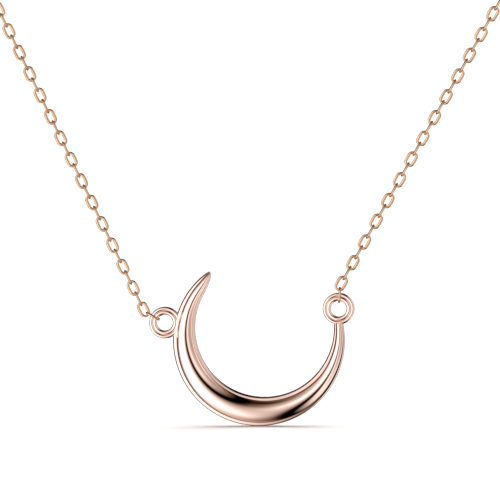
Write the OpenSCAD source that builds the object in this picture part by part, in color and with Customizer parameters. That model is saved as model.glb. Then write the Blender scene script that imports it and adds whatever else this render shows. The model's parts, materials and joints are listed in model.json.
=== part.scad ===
// Crescent moon pendant necklace, held up as it is worn.
// X runs across, -Y is the front, +Z is up. The origin is the middle of the neck opening,
// and the neck chain lies in the plane z = 0. All sizes are in millimetres.

/* [Crescent] */
// Outer diameter of the crescent
moon_d = 18; // [17.5:0.25:18.5]
// Diameter of the round hollow inside the crescent
hollow_d = 14.54; // [14:0.02:14.8]
// Shift of the hollow to the right of the crescent's middle
hollow_x = 0.586; // [0.5:0.01:0.65]
// Shift of the hollow above the crescent's middle
hollow_z = 1.319; // [1.2:0.01:1.4]
// Angle of the free horn's tip, from +X towards +Z
tip_angle = 125.3; // [120:0.1:130]
// Arc over which the free horn rounds off to its tip
nose_angle = 14; // [10:1:20]
// Distance of the tip inside the outer circle
tip_inset = 0.15; // [0.1:0.01:0.3]
// Thickness of the flat back body
back_t = 0.95; // [0.8:0.05:1.2]
// How far the back body reaches in front of the plane of the eyes
back_front = 0.22; // [0.1:0.01:0.3]
// Height of the domed front at its widest
dome_h = 1.0; // [0.7:0.05:1.2]
// Width of the ledge that the back body leaves around the dome
ledge = 0.33; // [0.2:0.01:0.35]

/* [Eyes] */
// Outer diameter of each eye
eye_d = 3.34; // [3.2:0.02:3.5]
// Diameter of the hole in each eye
eye_hole = 1.64; // [1.5:0.02:1.7]
// Depth of each eye, front to back, which is the width of its inner bead
eye_depth = 0.5; // [0.4:0.05:0.55]
// Width of the outer bead around each eye
outer_bead = 0.43; // [0.4:0.01:0.48]
// Distance of the left eye from the crescent's middle
left_eye_reach = 10.01; // [9.9:0.01:10.2]
// Angle of the left eye, from +X towards +Z
left_eye_angle = 169.2; // [165:0.1:172]
// Distance of the right eye from the crescent's middle
right_eye_reach = 8.99; // [8.9:0.01:9.1]
// Angle of the right eye, from +X towards +Z
right_eye_angle = 21.8; // [20:0.1:24]

/* [Chain] */
// Diameter of the chain wire
wire = 0.235; // [0.2:0.005:0.24]
// Outer length of a link
link_l = 1.72; // [1.7:0.01:1.74]
// Outer width of a link
link_w = 1.17; // [1.1:0.01:1.2]
// How much broader a link's rolled sides are than its wire, as a share of the wire
side_swell = 0.4; // [0.2:0.05:0.45]
// Lean of the left run from the vertical
left_lean = 25.7; // [25.5:0.1:25.9]
// Fall of the left end link towards its eye, from the horizontal
left_end_fall = 28; // [25:0.5:31]
// Lean of the right end link from the vertical
right_end_lean = 3.2; // [0:0.1:5]

/* [Clasp] */
// Outer diameter of the spring ring
clasp_d = 5.9; // [5.8:0.05:6]
// Diameter of the spring ring's tube
clasp_tube = 1.1; // [1:0.05:1.2]
// Wall of the tube
clasp_wall = 0.18; // [0.15:0.01:0.2]
// Outer diameter of the ring that the clasp hooks into
end_ring_d = 3.9; // [3.8:0.05:4]
// Wire of that ring
end_ring_wire = 0.5; // [0.4:0.05:0.55]

/* [Extender] */
// Links of the extender
extender_n = 16; // [8:4:20]
// Outer length of an extender link
ext_l = 3.6; // [3.2:0.1:4]
// Outer width of an extender link
ext_w = 2.6; // [2.4:0.1:2.8]
// Wire of an extender link
ext_wire = 0.4; // [0.3:0.05:0.45]
// Diameter of the tag at the extender's end
tag_d = 3.4; // [3:0.1:4]

/* [Hidden] */

rose = [0.80, 0.58, 0.50];
peach = [0.86, 0.63, 0.46];

// Gap left between two wires that hang in each other
play = 0.005;
left = -1;
right = 1;

// Chain counts. Odd links lie in the plane of the V and even links stand across it.
run_ends = [0, 2, 6, 12, 20, 32, 48, 68];
run_n = run_ends[7];
shoulder_n = 15;
side_n = 25;
nape_n = 62;
pitch = link_l - 2 * wire - play;
bow_reach = (link_l - wire) / 2;

// Bends of the chain: a turn of 90 degrees shared by the links in it
shoulder_step = 90 / shoulder_n;
shoulder_r = pitch / (2 * sin(shoulder_step / 2));
nape_step = 90 / nape_n;
nape_r = pitch / (2 * sin(nape_step / 2));

// The V, in the plane of the eyes, measured from the crescent's middle
function polar(r, a) = [r * cos(a), r * sin(a)];
left_eye = polar(left_eye_reach, left_eye_angle);
right_eye = polar(right_eye_reach, right_eye_angle);
left_pull = polar(1, -left_end_fall);
right_pull = polar(1, -90 - right_end_lean);
bow_r = (link_w - wire) / 2;
hook_reach = eye_hole / 2 - wire / 2 - play;
eye_to_bow = hook_reach + pitch + bow_r;
bow_to_start = pitch / 2 - (link_l - link_w) / 2;
run_up = run_n * pitch + shoulder_r;
left_up = [-sin(left_lean), cos(left_lean)];
left_start = left_eye - eye_to_bow * left_pull - bow_to_start * left_up;
neck_height = left_start.y + run_up * left_up.y;
// The right run leans just enough to reach the same height
right_bow = right_eye - eye_to_bow * right_pull;
right_lean = acos((neck_height - right_bow.y) / (run_up - bow_to_start));
right_up = [sin(right_lean), cos(right_lean)];
right_start = right_bow - bow_to_start * right_up;

// Placing of the crescent's middle, so that the neck opening is centred on the origin
left_foot = left_start.x + run_up * left_up.x;
right_foot = right_start.x + run_up * right_up.x;
moon_x = -(left_foot + right_foot) / 2;
moon_z = -neck_height;
half_neck = (right_foot - left_foot) / 2;
front_y = -(shoulder_r + side_n * pitch + nape_r) / 2;
side_y = front_y + shoulder_r;
arc_y = side_y + side_n * pitch;
nape_y = arc_y + nape_r;

// Nape hardware, from left to right along X
chain_end_left = -half_neck + nape_r;
chain_end_right = half_neck - nape_r;
gap_half = (wire + play) / 2;
end_ring_r = (end_ring_d - end_ring_wire) / 2;
end_ring_x = chain_end_left + gap_half - (wire + end_ring_wire) / 2 - play + end_ring_r;
clasp_r = (clasp_d - clasp_tube) / 2;
clasp_x = end_ring_x + end_ring_r - (end_ring_wire + clasp_tube) / 2 - 2 * play + clasp_r;
loop_wire = 0.45;
loop_r = 0.775;
loop_sink = 0.15;
loop_x = clasp_x + clasp_d / 2 + loop_r + loop_wire / 2 - loop_sink;
jump_wire = 0.4;
jump_left = loop_x + loop_r - (loop_wire + jump_wire) / 2 - 2 * play;
jump_right = chain_end_right - gap_half + (wire + jump_wire) / 2 + play;
jump_r = (jump_right - jump_left) / 2;
jump_x = (jump_right + jump_left) / 2;

// Spring ring, with angles in its own plane from +X towards +Z
gap_from = 122;
gap_to = 166;
bolt_from = 64;
bolt_to = 171;
lever_angle = 108;
bolt_travel = 44;
lever_d = 0.34;
lever_ball = 0.62;
lever_rise = 0.45;
bolt_play = 0.03;
slot_margin = 6;
slot_play = 0.1;
slot_wall = 0.1;
solder_lap = 0.08;

// Extender, which hangs from the back of the end ring
ext_x = end_ring_x;
ext_y = nape_y + end_ring_r;
ext_pitch = ext_l - 2 * ext_wire - 2 * play;
ext_reach = (ext_l - ext_wire) / 2;
ext_first_z = (end_ring_wire + ext_wire) / 2 + 2 * play - ext_reach;
ext_each = extender_n / 4;
tag_ring_wire = 0.35;
tag_ring_r = 1.025;
tag_t = 0.45;
tag_hole = 1.0;
tag_hole_in = 0.85;
ext_last_bow = ext_first_z - (extender_n - 1) * ext_pitch - ext_reach;
tag_ring_z = ext_last_bow + (ext_wire + tag_ring_wire) / 2 + 2 * play - tag_ring_r;
tag_hole_z = tag_ring_z - tag_ring_r + tag_ring_wire / 2 + 2 * play - tag_hole / 2;

// ---- Crescent outline: radii from the crescent's middle at an angle ----
tip_margin = 0.6;
back_margin = 6;
dome_margin = 11.6;
first_angle = tip_angle + tip_margin;
last_angle = 360 + right_eye_angle - back_margin;
dome_last_angle = 360 + right_eye_angle - dome_margin;
outline_n = 80;
// Steps are this share of the even step at the tip and widen towards the arm
tip_step = 0.65;
function hollow_reach(a) =
    let (along = hollow_x * cos(a) + hollow_z * sin(a))
    along + sqrt(pow(along, 2) - pow(hollow_x, 2) - pow(hollow_z, 2) + pow(hollow_d / 2, 2));
function nose(a) =
    let (t = min(1, (a - tip_angle) / nose_angle))
    sqrt(1 - pow(1 - t, 2));
function outer_r(a) = moon_d / 2 - tip_inset * (1 - nose(a));
function inner_r(a) = outer_r(a) - nose(a) * (moon_d / 2 - hollow_reach(a));
function width(a) = outer_r(a) - inner_r(a);
function sweep_angle(i, last) =
    let (t = i / outline_n)
    first_angle + (last - first_angle) * ((1 - tip_step) * t * t + tip_step * t);

// Dome section: a half ellipse that stands on the back body, inside the ledge
dome_n = 10;
widest = moon_d / 2 + norm([hollow_x, hollow_z]) - hollow_d / 2;
function ledge_at(a) = min(ledge, 0.25 * width(a));
function dome_w(a) = width(a) - 2 * ledge_at(a);
function dome_rise(a) = dome_h * sqrt(dome_w(a) / (widest - 2 * ledge));
function dome_point(a, t) =
    let (r = (outer_r(a) + inner_r(a)) / 2 + dome_w(a) / 2 * cos(t))
    [r * cos(a), -back_front - dome_rise(a) * sin(t), r * sin(a)];

module crescent_back() {
    outer = [for (i = [0 : outline_n]) polar(outer_r(sweep_angle(i, last_angle)), sweep_angle(i, last_angle))];
    inner = [for (i = [outline_n : -1 : 0]) polar(inner_r(sweep_angle(i, last_angle)), sweep_angle(i, last_angle))];
    color(rose)
        on_moon()
            difference() {
                translate([0, back_t - back_front, 0])
                    rotate([90, 0, 0])
                        linear_extrude(back_t)
                            polygon(concat(outer, inner));
                at(right_eye)
                    across(back_t * 3)
                        circle(d = eye_d, $fn = 64);
            }
}

module crescent_front() {
    ring = dome_n + 1;
    points = [
        for (i = [0 : outline_n])
            for (k = [0 : dome_n])
                dome_point(sweep_angle(i, dome_last_angle), 180 * k / dome_n)
    ];
    skin = [
        for (i = [0 : outline_n - 1])
            for (k = [0 : dome_n])
                let (next = (k + 1) % ring)
                each [
                    [i * ring + k, i * ring + next, (i + 1) * ring + next],
                    [i * ring + k, (i + 1) * ring + next, (i + 1) * ring + k]
                ]
    ];
    tip_cap = [for (k = [dome_n : -1 : 0]) k];
    arm_cap = [for (k = [0 : dome_n]) outline_n * ring + k];
    color(rose)
        on_moon()
            polyhedron(points, concat(skin, [tip_cap, arm_cap]));
}

// ---- Eyes: an inner bead that holds the link and an outer bead around it ----
module eye() {
    rotate([90, 0, 0])
        rotate_extrude($fn = 96) {
            translate([(eye_hole + eye_depth) / 2, 0]) circle(d = eye_depth, $fn = 32);
            translate([(eye_d - outer_bead) / 2, 0]) circle(d = outer_bead, $fn = 32);
        }
}

module eye_left() {
    color(rose)
        on_moon()
            difference() {
                at(left_eye) eye();
                across(eye_depth * 3) circle(d = moon_d, $fn = 96);
            }
}

module eye_right() {
    color(rose)
        on_moon()
            at(right_eye) eye();
}

// ---- Links: an oval of round wire, its length along Z and its width along X ----
// A rolled link's sides are broader than its wire, on their inner side
module oval_link(length, breadth, thick, rolled = true) {
    bow = (breadth - thick) / 2;
    half = (length - breadth) / 2;
    roll = side_swell * thick;
    for (turn = [0, 180])
        rotate([0, turn, 0]) {
            translate([0, 0, half])
                rotate([90, 0, 0])
                    rotate_extrude(angle = 180, $fn = 48)
                        translate([bow, 0]) circle(d = thick, $fn = 24);
            translate([bow, 0, -half])
                linear_extrude(2 * half) {
                    circle(d = thick, $fn = 24);
                    if (rolled) {
                        translate([-roll, 0]) circle(d = thick, $fn = 24);
                        translate([-roll / 2, 0]) square([roll, thick], center = true);
                    }
                }
        }
}

// A link next to a thicker wire is left round, so that it passes over that wire
module chain_link(i, rolled = true) {
    rotate([0, 0, i % 2 == 1 ? 0 : 90])
        color(peach) oval_link(link_l, link_w, wire, rolled);
}

// Links from + 1 to to of a run, counted from the pendant up
module run(side, from, to) {
    start = side == left ? left_start : right_start;
    lean = side == left ? left_lean : right_lean;
    on_moon()
        at(start)
            rotate([0, side * lean, 0])
                for (i = [from + 1 : to])
                    translate([0, 0, (i - 0.5) * pitch]) chain_link(i);
}

// The bend from the run to level, over the collarbone
module shoulder(side) {
    start = side == left ? left_start : right_start;
    lean = side == left ? left_lean : right_lean;
    on_moon()
        at(start)
            rotate([0, side * lean, 0])
                translate([0, shoulder_r, run_n * pitch])
                    for (i = [1 : shoulder_n])
                        rotate([-(i - 0.5) * shoulder_step, 0, 0])
                            translate([0, -shoulder_r * cos(shoulder_step / 2), 0])
                                chain_link(run_n + i);
}

// The straight stretch beside the neck, along which the chain untwists until it lies level
module side_run(side) {
    lean = side == left ? left_lean : right_lean;
    for (i = [1 : side_n])
        translate([side * half_neck, side_y + (i - 0.5) * pitch, 0])
            rotate([-90, 0, 0])
                rotate([0, 0, side * lean * (1 - (i - 0.5) / side_n)])
                    chain_link(run_n + shoulder_n + i);
}

// The bend around the back of the neck
module nape(side) {
    translate([side * (half_neck - nape_r), arc_y, 0])
        for (i = [1 : nape_n])
            rotate([0, 0, side * (i - 0.5) * nape_step])
                translate([side * nape_r * cos(nape_step / 2), 0, 0])
                    rotate([-90, 0, 0])
                        chain_link(run_n + shoulder_n + side_n + i, rolled = i < nape_n);
}

// The last link of each run, hooked through its eye and standing across the V
module end_link(eye_at, pull) {
    on_moon()
        at(eye_at - (hook_reach + bow_reach) * pull)
            rotate([0, atan2(pull.x, pull.y), 0])
                chain_link(0, rolled = false);
}
module end_link_left() end_link(left_eye, left_pull);
module end_link_right() end_link(right_eye, right_pull);

// ---- Nape hardware ----
module wire_ring(r, thick) {
    rotate_extrude($fn = 64)
        translate([r, 0]) circle(d = thick, $fn = 32);
}

module end_ring() {
    color(peach)
        translate([end_ring_x, nape_y, 0]) wire_ring(end_ring_r, end_ring_wire);
}

module clasp_jump_ring() {
    color(peach)
        translate([jump_x, nape_y, 0]) wire_ring(jump_r, jump_wire);
}

module on_clasp() {
    translate([clasp_x, nape_y, 0])
        rotate([90, 0, 0]) children();
}

// The tube, open between its two mouths, with a slot for the thumb lever
module clasp_ring() {
    slot_from = lever_angle - bolt_travel - slot_margin;
    slot_turn = bolt_travel + 2 * slot_margin;
    slot_w = lever_d + slot_play;
    color(peach)
        on_clasp()
            difference() {
                rotate([0, 0, gap_to])
                    rotate_extrude(angle = 360 - (gap_to - gap_from), $fn = 64)
                        translate([clasp_r, 0])
                            difference() {
                                circle(d = clasp_tube, $fn = 32);
                                circle(d = clasp_tube - 2 * clasp_wall, $fn = 32);
                            }
                rotate([0, 0, slot_from])
                    rotate_extrude(angle = slot_turn, $fn = 64)
                        translate([clasp_r + slot_wall, -slot_w / 2]) square([clasp_tube, slot_w]);
            }
}

// The soldered loop, cut where it meets the tube
module clasp_loop() {
    color(peach)
        translate([0, nape_y, 0])
            difference() {
                translate([loop_x, 0, 0]) rotate([90, 0, 0]) wire_ring(loop_r, loop_wire);
                translate([clasp_x, 0, 0])
                    across(clasp_tube) circle(d = clasp_d - solder_lap, $fn = 96);
            }
}

// The curved bolt that closes the gap, with its thumb lever
module clasp_bolt() {
    bolt_d = clasp_tube - 2 * clasp_wall - 2 * bolt_play;
    lever_out = clasp_tube / 2 + lever_rise;
    color(peach)
        on_clasp() {
            rotate([0, 0, bolt_from])
                rotate_extrude(angle = bolt_to - bolt_from, $fn = 64)
                    translate([clasp_r, 0]) circle(d = bolt_d, $fn = 32);
            rotate([0, 0, lever_angle])
                translate([clasp_r, 0, 0]) {
                    rotate([0, 90, 0]) cylinder(d = lever_d, h = lever_out, $fn = 24);
                    translate([lever_out, 0, 0]) sphere(d = lever_ball, $fn = 32);
                }
        }
}

// ---- Extender: every first link stands across, every second one lies flat ----
module extender(part) {
    color(peach)
        for (i = [(part - 1) * ext_each : part * ext_each - 1])
            translate([ext_x, ext_y, ext_first_z - i * ext_pitch])
                rotate([0, 0, i % 2 == 0 ? 90 : 0])
                    oval_link(ext_l, ext_w, ext_wire);
}

module tag_ring() {
    color(peach)
        translate([ext_x, ext_y, tag_ring_z])
            rotate([0, 90, 0]) wire_ring(tag_ring_r, tag_ring_wire);
}

module tag() {
    color(peach)
        translate([ext_x, ext_y, tag_hole_z])
            difference() {
                translate([0, 0, tag_hole_in - tag_d / 2]) across(tag_t) circle(d = tag_d, $fn = 64);
                across(tag_t * 2) circle(d = tag_hole, $fn = 48);
            }
}

// ---- Placing helpers ----
module on_moon() {
    translate([moon_x, front_y, moon_z]) children();
}

// Moves its children to a point of the V's plane
module at(place) {
    translate([place.x, 0, place.y]) children();
}

// Extrudes an outline in the plane of the V evenly to the front and the back
module across(depth) {
    rotate([90, 0, 0])
        linear_extrude(depth, center = true) children();
}

crescent_front();
crescent_back();
eye_left();
eye_right();
end_link_left();
end_link_right();
for (k = [1 : 7]) {
    run(left, run_ends[k - 1], run_ends[k]);
    run(right, run_ends[k - 1], run_ends[k]);
}
shoulder(left);  // shoulder_left
shoulder(right);  // shoulder_right
side_run(left);  // side_left
side_run(right);  // side_right
nape(left);  // nape_left
nape(right);  // nape_right
end_ring();
clasp_ring();
clasp_loop();
clasp_bolt();
clasp_jump_ring();
for (k = [1 : 4]) {
    extender(k);
}
tag_ring();
tag();
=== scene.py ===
# %% [markdown]
# # A crescent moon pendant on a fine cable chain
# The necklace hangs as it is worn: the V of chain in front, the neck chain level, the clasp at
# the nape. The frame, loaded first, already holds every solid at its real place and size. This
# lesson builds the finished surfaces over it: smooth polished metal, drawn wire and soft light.

import json
import math

import bpy
from mathutils import Matrix, Vector

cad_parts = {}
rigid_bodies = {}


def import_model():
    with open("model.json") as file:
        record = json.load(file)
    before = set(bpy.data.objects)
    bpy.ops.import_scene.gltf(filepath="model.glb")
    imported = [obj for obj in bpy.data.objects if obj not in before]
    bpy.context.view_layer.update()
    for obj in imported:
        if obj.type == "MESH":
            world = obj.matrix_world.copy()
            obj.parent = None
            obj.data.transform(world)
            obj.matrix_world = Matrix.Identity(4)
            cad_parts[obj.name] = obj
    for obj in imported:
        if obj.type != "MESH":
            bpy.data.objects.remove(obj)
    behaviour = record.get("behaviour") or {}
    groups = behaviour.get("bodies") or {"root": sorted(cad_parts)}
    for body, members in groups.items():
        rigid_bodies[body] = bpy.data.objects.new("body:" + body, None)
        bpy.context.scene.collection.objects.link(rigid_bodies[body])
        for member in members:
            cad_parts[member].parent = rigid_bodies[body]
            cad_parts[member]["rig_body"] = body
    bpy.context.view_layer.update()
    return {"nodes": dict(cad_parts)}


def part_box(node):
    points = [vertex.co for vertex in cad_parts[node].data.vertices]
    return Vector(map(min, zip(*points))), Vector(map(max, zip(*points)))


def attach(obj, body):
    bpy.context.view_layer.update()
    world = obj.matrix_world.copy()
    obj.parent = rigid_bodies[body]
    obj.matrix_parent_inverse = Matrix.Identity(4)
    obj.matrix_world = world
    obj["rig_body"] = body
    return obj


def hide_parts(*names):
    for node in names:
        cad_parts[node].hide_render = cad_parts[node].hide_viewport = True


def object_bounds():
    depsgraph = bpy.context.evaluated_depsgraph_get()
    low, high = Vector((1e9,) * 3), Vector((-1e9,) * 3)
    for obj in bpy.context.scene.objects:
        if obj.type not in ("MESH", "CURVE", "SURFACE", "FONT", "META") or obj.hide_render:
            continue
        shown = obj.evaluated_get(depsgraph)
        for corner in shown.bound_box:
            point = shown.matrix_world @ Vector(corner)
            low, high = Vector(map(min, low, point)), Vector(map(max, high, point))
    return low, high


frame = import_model()
MM = 0.001

# %% [markdown]
# Each piece follows the same path from a primitive to a finished mesh, so three small helpers
# come first: one clears the selection, one selects mesh points by where they are, and one
# finishes a piece. A finished piece has its place in its mesh and its object at the origin.

# %% Selecting and finishing
def deselect():
    bpy.ops.object.select_all(action="DESELECT")


def pick(test):
    """Selects the points of the mesh in edit mode for which test(place) is true."""
    mesh = bpy.context.object.data
    bpy.ops.mesh.select_mode(type="VERT")
    bpy.ops.mesh.select_all(action="DESELECT")
    bpy.ops.object.mode_set(mode="OBJECT")
    for point in mesh.vertices:
        point.select = test(point.co)
    bpy.ops.object.mode_set(mode="EDIT")


def settle():
    """Moves the active object's place and turn into its mesh."""
    piece = bpy.context.object
    piece.data.transform(piece.matrix_basis)
    piece.matrix_basis = Matrix.Identity(4)
    return piece


def outward():
    """Closes doubled points and turns every face outwards."""
    bpy.ops.object.mode_set(mode="EDIT")
    bpy.ops.mesh.select_all(action="SELECT")
    bpy.ops.mesh.remove_doubles(threshold=0.0001 * MM)
    bpy.ops.mesh.normals_make_consistent(inside=False)
    bpy.ops.object.mode_set(mode="OBJECT")


def finish_piece(piece, node, material, crease=math.radians(35)):
    """Shades the piece, gives it its metal and puts it in its node's place."""
    deselect()
    piece.name = node + "_metal"
    piece.select_set(True)
    bpy.context.view_layer.objects.active = piece
    bpy.ops.object.shade_smooth_by_angle(angle=crease)
    piece.data.materials.clear()
    piece.data.materials.append(material)
    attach(piece, frame["nodes"][node]["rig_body"])
    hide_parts(node)
    print(piece.name, len(piece.data.polygons), "faces")


# %% [markdown]
# ## Metals
# The whole necklace is base metal or silver under rose gold plate. Rose gold is gold with copper
# in it, so its reflections are pink. The pendant is polished on a wheel, which leaves a mirror
# with faint waves and hairline scratches. The chain's wire is drawn through a die and then
# tumbled bright, and its plate has a little more yellow. The clasp is stamped and cast, so it is
# a shade duller.

# %% One function for colours, one for nodes
def linear(code):
    """sRGB hex, such as "e8c0b0", as the linear RGBA that Blender mixes."""
    parts = [int(code[k : k + 2], 16) / 255 for k in (0, 2, 4)]
    return [c / 12.92 if c <= 0.04045 else ((c + 0.055) / 1.055) ** 2.4 for c in parts] + [1.0]


def add_node(tree, kind, settings=None, **links):
    """Adds a node, sets its properties and inputs, and links its inputs to other outputs. An
    input goes by its name, with _ for a space, or by its number, as in_6."""
    node = tree.nodes.new(kind)

    def entry(key):
        return node.inputs[int(key[3:]) if key.startswith("in_") else key.replace("_", " ")]

    for key, value in (settings or {}).items():
        if hasattr(node, key):
            setattr(node, key, value)
        else:
            entry(key).default_value = value
    for key, source in links.items():
        tree.links.new(source, entry(key))
    return node


# %% The plated metal
DRIFT_MM = 4
HAIR_MM = 0.9
HAIR_STRETCH = 14


def plated_metal(name, light, deep, shine, wave_mm, wave_depth, scratch):
    """Rose gold plate. light and deep are the ends of its colour drift, shine its roughness at
    best, wave_mm and wave_depth the polishing waves' size and height in mm, and scratch how much
    the hairlines dull it."""
    material = bpy.data.materials.new(name)
    material.use_nodes = True
    tree = material.node_tree
    tree.nodes.clear()
    place = add_node(tree, "ShaderNodeTexCoord").outputs["Object"]
    drift = add_node(
        tree, "ShaderNodeTexNoise", {"Scale": 1 / (DRIFT_MM * MM), "Detail": 2.0}, Vector=place
    )
    colour = add_node(
        tree,
        "ShaderNodeMix",
        {"data_type": "RGBA", "in_6": linear(deep), "in_7": linear(light)},
        in_0=drift.outputs["Fac"],
    )
    # Hairlines: a noise stretched along one direction reads as fine parallel scratches
    stretch = add_node(
        tree,
        "ShaderNodeMapping",
        {"Rotation": (0.3, 0.5, 0.8), "Scale": (1, HAIR_STRETCH, 1)},
        Vector=place,
    )
    hairs = add_node(
        tree,
        "ShaderNodeTexNoise",
        {"Scale": 1 / (HAIR_MM * MM), "Detail": 4.0},
        Vector=stretch.outputs[0],
    )
    dulling = add_node(
        tree,
        "ShaderNodeMapRange",
        {"From_Min": 0.45, "From_Max": 0.75, "To_Min": shine, "To_Max": shine + scratch},
        Value=hairs.outputs["Fac"],
    )
    waves = add_node(
        tree, "ShaderNodeTexNoise", {"Scale": 1 / (wave_mm * MM), "Detail": 1.0}, Vector=place
    )
    relief = add_node(
        tree,
        "ShaderNodeBump",
        {"Strength": 0.25, "Distance": wave_depth * MM},
        Height=waves.outputs["Fac"],
    )
    metal = add_node(
        tree,
        "ShaderNodeBsdfPrincipled",
        {"Metallic": 1.0},
        Base_Color=colour.outputs[2],
        Roughness=dulling.outputs["Result"],
        Normal=relief.outputs["Normal"],
    )
    add_node(tree, "ShaderNodeOutputMaterial", Surface=metal.outputs["BSDF"])
    return material


wheel_polished = plated_metal(
    "wheel_polished_rose_gold", "f6dbd1", "f0d0c4", 0.02, 2.2, 0.008, 0.03
)
drawn_wire = plated_metal("drawn_rose_gold_wire", "e6bd9b", "cf9c76", 0.04, 0.8, 0.006, 0.08)
cast_plate = plated_metal("cast_rose_gold_clasp", "efcdb3", "e6bfa2", 0.12, 1.2, 0.01, 0.1)
print("three metals")

# %% [markdown]
# ## The crescent
# The crescent is an outer circle with a slightly smaller circle set up and to the right inside
# it. The gap between the two is the body's width at each angle. The free horn rounds off to a
# tip, and the right arm runs into an eye. Front and back are each a strip of faces wrapped into
# a closed section and swept round, so a grid is the right start: one way along it runs round the
# crescent and the other runs round the section.

# %% The outline, as in the solid model
MOON_R = 9.0
HOLLOW_R = 7.27
HOLLOW = (0.586, 1.319)
TIP_ANGLE = 125.3
NOSE_ANGLE = 14.0
TIP_INSET = 0.15
LEDGE = 0.33
LEDGE_SHARE = 0.17
EYE_ANGLE = 360 + 21.8
FRONT_EASE = 0.17
BACK_EASE = 0.3
back_low, back_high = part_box("crescent_back")
front_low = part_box("crescent_front")[0]
moon = Vector((back_low.x + MOON_R * MM, (back_low.y + back_high.y) / 2, back_low.z + MOON_R * MM))
LEDGE_Y = back_low.y
BACK_Y = back_high.y
DOME_H = (LEDGE_Y - front_low.y) / MM
print("crescent at", [round(v / MM, 2) for v in moon], "dome", round(DOME_H, 2), "mm high")


def nose(angle):
    share = max(0.0, min(1.0, (angle - TIP_ANGLE) / NOSE_ANGLE))
    return math.sqrt(1 - (1 - share) ** 2)


def radii(angle):
    """Inner and outer radius of the crescent at an angle in degrees, in mm."""
    turn = math.radians(angle)
    along = HOLLOW[0] * math.cos(turn) + HOLLOW[1] * math.sin(turn)
    hollow = along + math.sqrt(along**2 - HOLLOW[0] ** 2 - HOLLOW[1] ** 2 + HOLLOW_R**2)
    outer = MOON_R - TIP_INSET * (1 - nose(angle))
    return outer - nose(angle) * (MOON_R - hollow), outer


WIDEST = MOON_R + math.hypot(*HOLLOW) - HOLLOW_R


# %% Sweeping a closed section round the crescent
def swept(section, first, last, around, along):
    """A grid wrapped into a closed tube. section(angle, turn) gives a point of the section as
    (radius in mm, y in metres), with turn from 0 to 1 all the way round it. The steps along the
    crescent are closer at its tip."""
    deselect()
    bpy.ops.mesh.primitive_grid_add(x_subdivisions=along, y_subdivisions=around, size=1)
    piece = bpy.context.object
    for point in piece.data.vertices:
        share = point.co.x + 0.5
        angle = first + (last - first) * (0.35 * share * share + 0.65 * share)
        radius, y = section(angle, point.co.y + 0.5)
        turn = math.radians(angle)
        point.co = (moon.x + radius * MM * math.cos(turn), y, moon.z + radius * MM * math.sin(turn))
    bpy.ops.object.mode_set(mode="EDIT")
    bpy.ops.mesh.select_all(action="SELECT")
    bpy.ops.mesh.remove_doubles(threshold=0.001 * MM)
    bpy.ops.mesh.select_all(action="DESELECT")
    bpy.ops.mesh.select_non_manifold()
    bpy.ops.mesh.fill_holes(sides=0)
    bpy.ops.object.mode_set(mode="OBJECT")
    outward()
    return piece


# %% The domed front
OVER_TOP = 0.8
SUNK = 0.02 * MM


def dome_section(angle, turn):
    """The first part of the section goes over the dome, the rest back under it."""
    inner, outer = radii(angle)
    middle = (inner + outer) / 2
    breadth = outer - inner
    half = (breadth - 2 * min(LEDGE, LEDGE_SHARE * breadth)) / 2
    height = DOME_H * math.sqrt(2 * half / (WIDEST - 2 * LEDGE))
    if turn <= OVER_TOP:
        swing = math.pi * turn / OVER_TOP
        return middle + half * math.cos(swing), LEDGE_Y - height * MM * math.sin(swing)
    share = (turn - OVER_TOP) / (1 - OVER_TOP)
    return middle - half + 2 * half * share, LEDGE_Y + SUNK * math.sin(math.pi * share)


dome = swept(dome_section, TIP_ANGLE + 0.5, EYE_ANGLE - 9.5, 50, 260)
finish_piece(dome, "crescent_front", wheel_polished, math.radians(60))


# %% The back body, with its edges eased
def back_section(angle, turn):
    inner, outer = radii(angle)
    breadth = outer - inner
    depth = (BACK_Y - LEDGE_Y) / MM
    eased = min(BACK_EASE, 0.42 * breadth)
    front_eased = min(FRONT_EASE, 0.22 * breadth)
    # Each corner: its radius and depth, how far the easing reaches sideways and in depth
    corners = (
        (outer, 0.0, front_eased, 3 * front_eased),
        (outer, depth, eased, eased),
        (inner, depth, eased, eased),
        (inner, 0.0, front_eased, 3 * front_eased),
    )
    number = min(3, int(turn * 4))
    radius, y, ease, ease_deep = corners[number]
    sideways = -1 if radius == outer else 1
    inward = 1 if y == 0.0 else -1
    # The first 0.9 of each quarter swings round the corner, the rest is the flat side
    swing = math.pi / 2 * min(1.0, (turn * 4 - number) / 0.9)
    if number in (0, 2):
        swing = math.pi / 2 - swing
    return (
        radius + sideways * ease * (1 - math.cos(swing)),
        LEDGE_Y + (y + inward * ease_deep * (1 - math.sin(swing))) * MM,
    )


back = swept(back_section, TIP_ANGLE + 0.3, EYE_ANGLE - 9.0, 32, 220)
finish_piece(back, "crescent_back", wheel_polished)

# %% [markdown]
# ## The eyes
# An eye is two beads, one around the other: the inner one holds the end link and the outer one
# frames it. Two tori joined by a boolean give both, with the fine groove between them. The left
# eye is soldered to the crescent's edge, so it is cut off where that edge runs.

# %% Both eyes
EYE_D = 3.34
EYE_HOLE = 1.64
EYE_DEPTH = 0.5
OUTER_BEAD = 0.43


def boolean(piece, other, operation):
    """Joins or cuts the piece with another one, which is used up."""
    deselect()
    piece.select_set(True)
    bpy.context.view_layer.objects.active = piece
    step = piece.modifiers.new(operation, "BOOLEAN")
    step.operation = operation
    step.object = other
    bpy.ops.object.modifier_apply(modifier=operation)
    bpy.data.objects.remove(other)


def bead(radius, thick, centre):
    deselect()
    bpy.ops.mesh.primitive_torus_add(
        major_segments=120,
        minor_segments=28,
        major_radius=radius * MM,
        minor_radius=thick / 2 * MM,
        rotation=(math.pi / 2, 0, 0),
        location=centre,
    )
    return settle()


def eye(centre):
    piece = bead((EYE_HOLE + EYE_DEPTH) / 2, EYE_DEPTH, centre)
    boolean(piece, bead((EYE_D - OUTER_BEAD) / 2, OUTER_BEAD, centre), "UNION")
    return piece


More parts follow.
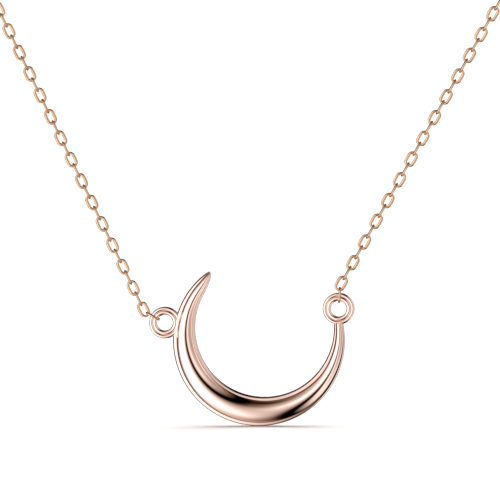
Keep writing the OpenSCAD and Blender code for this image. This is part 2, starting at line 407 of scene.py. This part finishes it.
low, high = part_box("eye_right")
right_eye = (low + high) / 2
low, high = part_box("eye_left")
left_eye = Vector((low.x + EYE_D / 2 * MM, (low.y + high.y) / 2, (low.z + high.z) / 2))
finish_piece(eye(right_eye), "eye_right", wheel_polished, math.radians(40))
ring = eye(left_eye)
deselect()
bpy.ops.mesh.primitive_cylinder_add(
    vertices=240,
    radius=(MOON_R - 0.03) * MM,
    depth=4 * MM,
    location=(moon.x, left_eye.y, moon.z),
    rotation=(math.pi / 2, 0, 0),
)
boolean(ring, settle(), "DIFFERENCE")
finish_piece(ring, "eye_left", wheel_polished, math.radians(40))

# %% [markdown]
# ## The chain
# A cable link is a bit of round wire closed into an oval. A torus is cut across its middle and
# its halves are moved apart, which leaves two bows and two straight sides. The link is made once
# and copied some 340 times, so it has only as many faces as its highlights need. Odd links lie
# in the plane of the V and even ones stand across it, each hanging in the next.

# %% One link
WIRE = 0.235
LINK_L = 1.72
LINK_W = 1.17
SIDE_SWELL = 0.4
PLAY = 0.005
PITCH = LINK_L - 2 * WIRE - PLAY


def oval_link(length, breadth, wire, around, sides, swell):
    """An oval of round wire, its length along Z and its width along X, in mm. Rolled sides are
    broader than the wire by the share swell, which fades out round the bows."""
    deselect()
    bpy.ops.mesh.primitive_torus_add(
        major_segments=around,
        minor_segments=sides,
        major_radius=(breadth - wire) / 2 * MM,
        minor_radius=wire / 2 * MM,
        rotation=(math.pi / 2, 0, 0),
    )
    piece = settle()
    edge = breadth / 2 * MM
    for point in piece.data.vertices:
        across = math.hypot(point.co.x, point.co.z)
        inward = (edge - across) * swell * (point.co.x / across) ** 2
        point.co.x *= 1 - inward / across
        point.co.z *= 1 - inward / across
    half = (length - breadth) / 2 * MM
    bpy.ops.object.mode_set(mode="EDIT")
    for side in (1, -1):
        pick(lambda place: place.z * side > 0.01 * MM)
        bpy.ops.transform.translate(value=(0, 0, side * half))
    bpy.ops.object.mode_set(mode="OBJECT")
    return piece


EXT_L = 3.6
EXT_W = 2.6
EXT_WIRE = 0.4
EXT_PITCH = EXT_L - 2 * EXT_WIRE - 0.01
rolled_link = oval_link(LINK_L, LINK_W, WIRE, 20, 8, SIDE_SWELL)
round_link = oval_link(LINK_L, LINK_W, WIRE, 20, 8, 0)
extender_link = oval_link(EXT_L, EXT_W, EXT_WIRE, 32, 12, SIDE_SWELL)
for link in (rolled_link, extender_link):
    print("a link has", len(link.data.polygons), "faces")


# %% Copying a link to its places
def string_of(link, places, node, material, last=None):
    """Copies a link to each place, joins the copies and finishes them as one node. The last
    place may take another link, as beside the end ring's thicker wire."""
    deselect()
    for place in places:
        kind = last if last and place is places[-1] else link
        copy = bpy.data.objects.new(node, kind.data.copy())
        copy.data.transform(place)
        bpy.context.collection.objects.link(copy)
        copy.select_set(True)
        bpy.context.view_layer.objects.active = copy
    if len(places) > 1:
        bpy.ops.object.join()
    finish_piece(bpy.context.object, node, material, math.pi)


def move(x, y, z):
    return Matrix.Translation((x, y, z))


def turned(degrees, axis):
    return Matrix.Rotation(math.radians(degrees), 4, axis)


def roll(number):
    return turned(0 if number % 2 else 90, "Z")


# %% The route of the chain, worked out from the eyes
RUN_ENDS = (0, 2, 6, 12, 20, 32, 48, 68)
SHOULDER_N = 15
SIDE_N = 25
NAPE_N = 62
RUN_N = RUN_ENDS[-1]
SHOULDER_R = PITCH * MM / (2 * math.sin(math.radians(45 / SHOULDER_N)))
NAPE_R = PITCH * MM / (2 * math.sin(math.radians(45 / NAPE_N)))
BOW_REACH = (LINK_L - WIRE) / 2
HOOK_REACH = EYE_HOLE / 2 - WIRE / 2 - PLAY
EYE_TO_BOW = (HOOK_REACH + PITCH + (LINK_W - WIRE) / 2) * MM
BOW_TO_START = (PITCH / 2 - (LINK_L - LINK_W) / 2) * MM
RUN_UP = RUN_N * PITCH * MM + SHOULDER_R
LEFT_LEAN = 25.7
LEFT_PULL = math.radians(28)
RIGHT_PULL = math.radians(3.2)
left_pull = Vector((math.cos(LEFT_PULL), 0, -math.sin(LEFT_PULL)))
right_pull = Vector((-math.sin(RIGHT_PULL), 0, -math.cos(RIGHT_PULL)))
right_bow = right_eye - EYE_TO_BOW * right_pull
RIGHT_LEAN = math.degrees(math.acos(-right_bow.z / (RUN_UP - BOW_TO_START)))


def upward(side_lean):
    return Vector((math.sin(math.radians(side_lean)), 0, math.cos(math.radians(side_lean))))


left_start = left_eye - EYE_TO_BOW * left_pull - BOW_TO_START * upward(-LEFT_LEAN)
right_start = right_bow - BOW_TO_START * upward(RIGHT_LEAN)
for word, lean, start in (("left", LEFT_LEAN, left_start), ("right", RIGHT_LEAN, right_start)):
    print(word, "run leans", round(lean, 2), "degrees and starts at", round(start.z / MM, 2), "mm")

# %% The front runs, shoulders, sides and nape of both halves
HALVES = ((-1, "left", left_start, LEFT_LEAN), (1, "right", right_start, RIGHT_LEAN))
for side, word, start, lean in HALVES:
    foot = move(*start) @ turned(side * lean, "Y")
    for part in range(1, len(RUN_ENDS)):
        places = [
            foot @ move(0, 0, (i - 0.5) * PITCH * MM) @ roll(i)
            for i in range(RUN_ENDS[part - 1] + 1, RUN_ENDS[part] + 1)
        ]
        string_of(rolled_link, places, f"run_{part}_{word}", drawn_wire)
    step = 90 / SHOULDER_N
    bend = foot @ move(0, SHOULDER_R, RUN_N * PITCH * MM)
    places = [
        bend
        @ turned(-(i - 0.5) * step, "X")
        @ move(0, -SHOULDER_R * math.cos(math.radians(step / 2)), 0)
        @ roll(RUN_N + i)
        for i in range(1, SHOULDER_N + 1)
    ]
    string_of(rolled_link, places, f"shoulder_{word}", drawn_wire)
    beside = start + RUN_UP * upward(side * lean)
    places = [
        move(beside.x, beside.y + SHOULDER_R + (i - 0.5) * PITCH * MM, 0)
        @ turned(-90, "X")
        @ turned(side * lean * (1 - (i - 0.5) / SIDE_N), "Z")
        @ roll(RUN_N + SHOULDER_N + i)
        for i in range(1, SIDE_N + 1)
    ]
    string_of(rolled_link, places, f"side_{word}", drawn_wire)
    step = 90 / NAPE_N
    arc = move(beside.x - side * NAPE_R, beside.y + SHOULDER_R + SIDE_N * PITCH * MM, 0)
    places = [
        arc
        @ turned(side * (i - 0.5) * step, "Z")
        @ move(side * NAPE_R * math.cos(math.radians(step / 2)), 0, 0)
        @ turned(-90, "X")
        @ roll(RUN_N + SHOULDER_N + SIDE_N + i)
        for i in range(1, NAPE_N + 1)
    ]
    string_of(rolled_link, places, f"nape_{word}", drawn_wire, last=round_link)

# %% The links through the eyes
for word, hole, pull in (("left", left_eye, left_pull), ("right", right_eye, right_pull)):
    middle = hole - (HOOK_REACH + BOW_REACH) * MM * pull
    heading = math.degrees(math.atan2(pull.x, pull.z))
    places = [move(*middle) @ turned(heading, "Y") @ roll(0)]
    string_of(round_link, places, f"end_link_{word}", drawn_wire)

# %% [markdown]
# ## The clasp at the nape
# A spring ring is a tube bent into a ring and left open for the chain's end ring. A curved bolt
# slides inside the tube to close the gap, and its thumb lever runs in a slot. The tube is a
# circle spun round the ring's centre, and Solidify gives it a wall. The slot is cut by a boolean.

# %% Plain wire rings
def wire_ring(node, radius, wire, centre, turn):
    deselect()
    bpy.ops.mesh.primitive_torus_add(
        major_segments=64,
        minor_segments=20,
        major_radius=radius,
        minor_radius=wire / 2,
        rotation=turn,
        location=centre,
    )
    finish_piece(settle(), node, cast_plate, math.pi)


def ring_of(node, across):
    """Centre, middle radius and wire of a ring's node, whose ring lies across an axis."""
    low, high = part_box(node)
    size = high - low
    wire = size[across]
    return (low + high) / 2, (max(size) - wire) / 2, wire


centre, radius, wire = ring_of("end_ring", 2)
wire_ring("end_ring", radius, wire, centre, (0, 0, 0))
centre, radius, wire = ring_of("clasp_jump_ring", 2)
wire_ring("clasp_jump_ring", radius, wire, centre, (0, 0, 0))
centre, radius, wire = ring_of("tag_ring", 0)
wire_ring("tag_ring", radius, wire, centre, (0, math.pi / 2, 0))
low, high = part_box("clasp_loop")
loop_wire = high.y - low.y
loop_r = (high.z - low.z - loop_wire) / 2
loop_centre = Vector((high.x - loop_r - loop_wire / 2, (low.y + high.y) / 2, 0))
wire_ring("clasp_loop", loop_r, loop_wire, loop_centre, (math.pi / 2, 0, 0))

# %% The tube of the spring ring
GAP_FROM = 122
GAP_TO = 166
SLOT_FROM = 58
SLOT_TO = 114
low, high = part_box("clasp_ring")
clasp = (low + high) / 2
TUBE = high.y - low.y
CLASP_R = (high.z - low.z - TUBE) / 2
WALL = 0.18 * MM
clasp.x = high.x - CLASP_R - TUBE / 2


def at_angle(degrees, radius):
    turn = math.radians(degrees)
    return clasp + Vector((radius * math.cos(turn), 0, radius * math.sin(turn)))


def spun(radius, sweep, steps):
    """A circle at the tube's middle, spun about the ring's centre: a bent pipe of one thin wall.
    With no window, spin turns the other way about its axis, so the axis points down."""
    deselect()
    bpy.ops.mesh.primitive_circle_add(
        vertices=24, radius=radius, location=(CLASP_R, 0, 0), rotation=(math.pi / 2, 0, 0)
    )
    piece = settle()
    bpy.ops.object.mode_set(mode="EDIT")
    bpy.ops.mesh.select_all(action="SELECT")
    bpy.ops.mesh.spin(steps=steps, angle=math.radians(sweep), center=(0, 0, 0), axis=(0, 0, -1))
    bpy.ops.object.mode_set(mode="OBJECT")
    outward()
    return piece


def stand_on_clasp(piece, start):
    """Turns a ring made flat round Z into the clasp's upright plane, at its place."""
    piece.data.transform(move(*clasp) @ turned(90, "X") @ turned(start, "Z"))


tube = spun(TUBE / 2, 360 - (GAP_TO - GAP_FROM), 72)
wall = tube.modifiers.new("wall", "SOLIDIFY")
wall.thickness = WALL
wall.offset = -1
bpy.ops.object.modifier_apply(modifier="wall")
stand_on_clasp(tube, GAP_TO)
print("tube", len(tube.data.polygons), "faces")

# %% The slot for the thumb lever
deselect()
bpy.ops.mesh.primitive_plane_add(size=1)
slot_cutter = bpy.context.object
SLOT_W = 0.44 * MM
SLOT_DEEP = 0.1 * MM
for point in slot_cutter.data.vertices:
    reach = SLOT_DEEP if point.co.x < 0 else TUBE
    point.co = (CLASP_R + reach, 0, SLOT_W * point.co.y)
bpy.ops.object.mode_set(mode="EDIT")
bpy.ops.mesh.select_all(action="SELECT")
slot_sweep = math.radians(SLOT_TO - SLOT_FROM)
bpy.ops.mesh.spin(steps=24, angle=slot_sweep, center=(0, 0, 0), axis=(0, 0, -1))
bpy.ops.mesh.select_all(action="DESELECT")
bpy.ops.mesh.select_non_manifold()
bpy.ops.mesh.fill_holes(sides=0)
bpy.ops.object.mode_set(mode="OBJECT")
outward()
stand_on_clasp(slot_cutter, SLOT_FROM)
boolean(tube, slot_cutter, "DIFFERENCE")
finish_piece(tube, "clasp_ring", cast_plate)

# %% The bolt and its thumb lever
BOLT_FROM = 64
BOLT_TO = 171
BOLT_PLAY = 0.03 * MM
LEVER_ANGLE = 108
LEVER_RISE = 0.45 * MM
STEM_R = 0.17 * MM
KNOB_R = 0.31 * MM
bolt = spun(TUBE / 2 - WALL - BOLT_PLAY, BOLT_TO - BOLT_FROM, 40)
bpy.ops.object.mode_set(mode="EDIT")
bpy.ops.mesh.select_all(action="DESELECT")
bpy.ops.mesh.select_non_manifold()
bpy.ops.mesh.fill_holes(sides=0)
bpy.ops.object.mode_set(mode="OBJECT")
outward()
stand_on_clasp(bolt, BOLT_FROM)
deselect()
lever_out = TUBE / 2 + LEVER_RISE
bpy.ops.mesh.primitive_cylinder_add(
    vertices=24,
    radius=STEM_R,
    depth=lever_out,
    location=(lever_out / 2, 0, 0),
    rotation=(0, math.pi / 2, 0),
)
stem = settle()
bpy.ops.mesh.primitive_uv_sphere_add(
    segments=32, ring_count=20, radius=KNOB_R, location=(lever_out, 0, 0)
)
knob = settle()
lever_foot = move(*at_angle(LEVER_ANGLE, CLASP_R)) @ turned(90, "X") @ turned(LEVER_ANGLE, "Z")
for part in (stem, knob):
    part.data.transform(lever_foot)
deselect()
for part in (stem, knob, bolt):
    part.select_set(True)
bpy.context.view_layer.objects.active = bolt
bpy.ops.object.join()
finish_piece(bolt, "clasp_bolt", cast_plate)

# %% [markdown]
# ## The extender and its tag
# The extender is the same cable in a heavier wire, so that the clasp can hook into any link. It
# ends in a plain round tag, stamped from sheet with its edges tumbled soft.

# %% Extender links
low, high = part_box("extender_1")
hang = Vector(((low.x + high.x) / 2, (low.y + high.y) / 2, high.z - EXT_L / 2 * MM))
for part in range(4):
    places = [
        move(hang.x, hang.y, hang.z - i * EXT_PITCH * MM) @ roll(i)
        for i in range(4 * part, 4 * part + 4)
    ]
    string_of(extender_link, places, f"extender_{part + 1}", cast_plate)

# %% The tag
TAG_HOLE_R = 0.5 * MM
TAG_HOLE_DROP = 0.85 * MM
SOFT_EDGE = 0.08 * MM
INSET = 0.03 * MM
low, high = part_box("tag")


def disc(sides, radius, depth, height):
    """A flat upright disc at the tag's place, with its middle at this height."""
    deselect()
    bpy.ops.mesh.primitive_cylinder_add(
        vertices=sides,
        radius=radius,
        depth=depth,
        location=((low.x + high.x) / 2, (low.y + high.y) / 2, height),
        rotation=(math.pi / 2, 0, 0),
    )
    return settle()


tag = disc(72, (high.x - low.x) / 2, high.y - low.y, (low.z + high.z) / 2)
boolean(tag, disc(40, TAG_HOLE_R, 2 * MM, high.z - TAG_HOLE_DROP), "DIFFERENCE")
soft = tag.modifiers.new("tumbled", "BEVEL")
soft.width = SOFT_EDGE
soft.segments = 3
soft.limit_method = "ANGLE"
bpy.ops.object.modifier_apply(modifier="tumbled")
# A narrow inset keeps the soft edge's shading off the flat faces
bpy.ops.object.mode_set(mode="EDIT")
bpy.ops.mesh.select_mode(type="FACE")
bpy.ops.mesh.select_all(action="DESELECT")
bpy.ops.object.mode_set(mode="OBJECT")
for face in tag.data.polygons:
    face.select = abs(face.normal.y) > 0.999
bpy.ops.object.mode_set(mode="EDIT")
bpy.ops.mesh.inset(thickness=INSET)
bpy.ops.mesh.select_mode(type="VERT")
bpy.ops.object.mode_set(mode="OBJECT")
finish_piece(tag, "tag", cast_plate)
for master in (rolled_link, round_link, extender_link):
    bpy.data.objects.remove(master)

# %% [markdown]
# ## Floor, light and camera
# Polished metal shows its surroundings, so the light is a bright tent with one dark upright card
# a little to the right of the camera and a roof that falls away to black. The dark card draws
# the thin streak that follows the crescent's ridge. The floor meets the crescent's lowest point.

# %% The floor
floor_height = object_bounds()[0].z
deselect()
bpy.ops.mesh.primitive_plane_add(size=6, location=(0, 0, floor_height))
floor = bpy.context.object
floor.name = "floor"
floor_paint = bpy.data.materials.new("white_card")
floor_paint.use_nodes = True
card = floor_paint.node_tree.nodes["Principled BSDF"].inputs
card["Base Color"].default_value = linear("e7e7e7")
card["Roughness"].default_value = 0.9
card["Specular IOR Level"].default_value = 0.0
floor.data.materials.append(floor_paint)
floor.visible_glossy = False

# %% The light tent
world = bpy.data.worlds.new("light_tent")
bpy.context.scene.world = world
world.use_nodes = True
tree = world.node_tree
tree.nodes.clear()
heading = add_node(tree, "ShaderNodeTexCoord").outputs["Generated"]
axes = add_node(tree, "ShaderNodeSeparateXYZ", Vector=heading).outputs


def tent_ramp(source, stops, white=(1.0, 1.0, 1.0)):
    """Brightness along one direction, from -1 to 1. Its dim parts are a little warmer."""
    share = add_node(tree, "ShaderNodeMapRange", {"From_Min": -1.0, "From_Max": 1.0}, Value=source)
    node = add_node(tree, "ShaderNodeValToRGB", Fac=share.outputs["Result"])
    while len(node.color_ramp.elements) < len(stops):
        node.color_ramp.elements.new(0.5)
    for element, (place, grey) in zip(node.color_ramp.elements, stops):
        element.position = (place + 1) / 2
        tint = (grey, grey**1.2, grey**1.35)
        element.color = [level * part for level, part in zip(white, tint)] + [1]
    return node.outputs["Color"]


# From the left to the right: a daylight-white sheet, its edge, the dark card and a dimmer sheet
across = tent_ramp(
    axes[0],
    [
        (-1.0, 1.0),
        (-0.25, 1.0),
        (-0.1, 0.85),
        (0.0, 0.6),
        (0.12, 0.32),
        (0.21, 0.06),
        (0.26, 0.0),
        (0.4, 0.0),
        (0.48, 0.3),
        (0.62, 0.78),
        (0.75, 0.75),
        (0.9, 0.45),
        (1.0, 0.32),
    ],
    white=(1.0, 1.07, 1.1),
)
# From below to above: the tent is brightest level with the pendant and closes to black on top
upwards = tent_ramp(
    axes[2],
    [
        (-1.0, 0.35),
        (-0.9, 0.6),
        (-0.64, 1.0),
        (0.34, 1.0),
        (0.5, 0.8),
        (0.64, 0.5),
        (0.77, 0.4),
        (0.87, 0.25),
        (0.95, 0.13),
        (1.0, 0.02),
    ],
)
# A dark card far behind, to the left, gives every piece its outline
away = add_node(
    tree,
    "ShaderNodeVectorMath",
    {"operation": "DOT_PRODUCT", "in_1": (-0.5, 0.85, 0.0)},
    in_0=heading,
)
backwards = tent_ramp(
    away.outputs["Value"],
    [(-1.0, 1.0), (0.25, 1.0), (0.5, 0.4), (0.75, 0.08), (1.0, 0.03)],
)


def times(first, second):
    """One brightness multiplied by another."""
    return add_node(
        tree,
        "ShaderNodeMix",
        {"data_type": "RGBA", "blend_type": "MULTIPLY", "in_0": 1.0},
        in_6=first,
        in_7=second,
    ).outputs[2]


tent = times(times(across, upwards), backwards)
tent_light = add_node(tree, "ShaderNodeBackground", {"Strength": 1.6}, Color=tent)
# The camera sees plain white paper behind the necklace, not the tent
paper = add_node(tree, "ShaderNodeBackground", {"Color": (1, 1, 1, 1), "Strength": 1.0})
seen = add_node(tree, "ShaderNodeLightPath").outputs["Is Camera Ray"]
both = add_node(
    tree, "ShaderNodeMixShader", in_0=seen, in_1=tent_light.outputs[0], in_2=paper.outputs[0]
)
add_node(tree, "ShaderNodeOutputWorld", Surface=both.outputs[0])

# %% One broad lamp above and behind, which whitens the floor and leaves a soft shadow on it
lamp = bpy.data.lights.new("overhead", "SUN")
lamp.energy = 3.5
lamp.angle = math.radians(80)
overhead = bpy.data.objects.new("overhead", lamp)
overhead.visible_glossy = False
overhead.rotation_euler = (math.radians(-18), 0, 0)
bpy.context.collection.objects.link(overhead)

# %% The camera, level with the pendant and a long way off
VIEW_W = 52.33 * MM
DISTANCE = 1.1
ELEVATION = math.radians(4)
target = moon + Vector((-0.94, 0, 9.47)) * MM
camera_data = bpy.data.cameras.new("camera")
camera_data.sensor_width = 36
camera_data.lens = 36 * DISTANCE / VIEW_W
camera_data.clip_start = 0.01
camera_data.clip_end = 20
camera = bpy.data.objects.new("camera", camera_data)
bpy.context.collection.objects.link(camera)
camera.location = target + DISTANCE * Vector((0, -math.cos(ELEVATION), math.sin(ELEVATION)))
camera.rotation_euler = (target - camera.location).to_track_quat("-Z", "Y").to_euler()
bpy.context.scene.camera = camera
bpy.context.scene.view_settings.view_transform = "Standard"
print("lens", round(camera_data.lens), "mm")
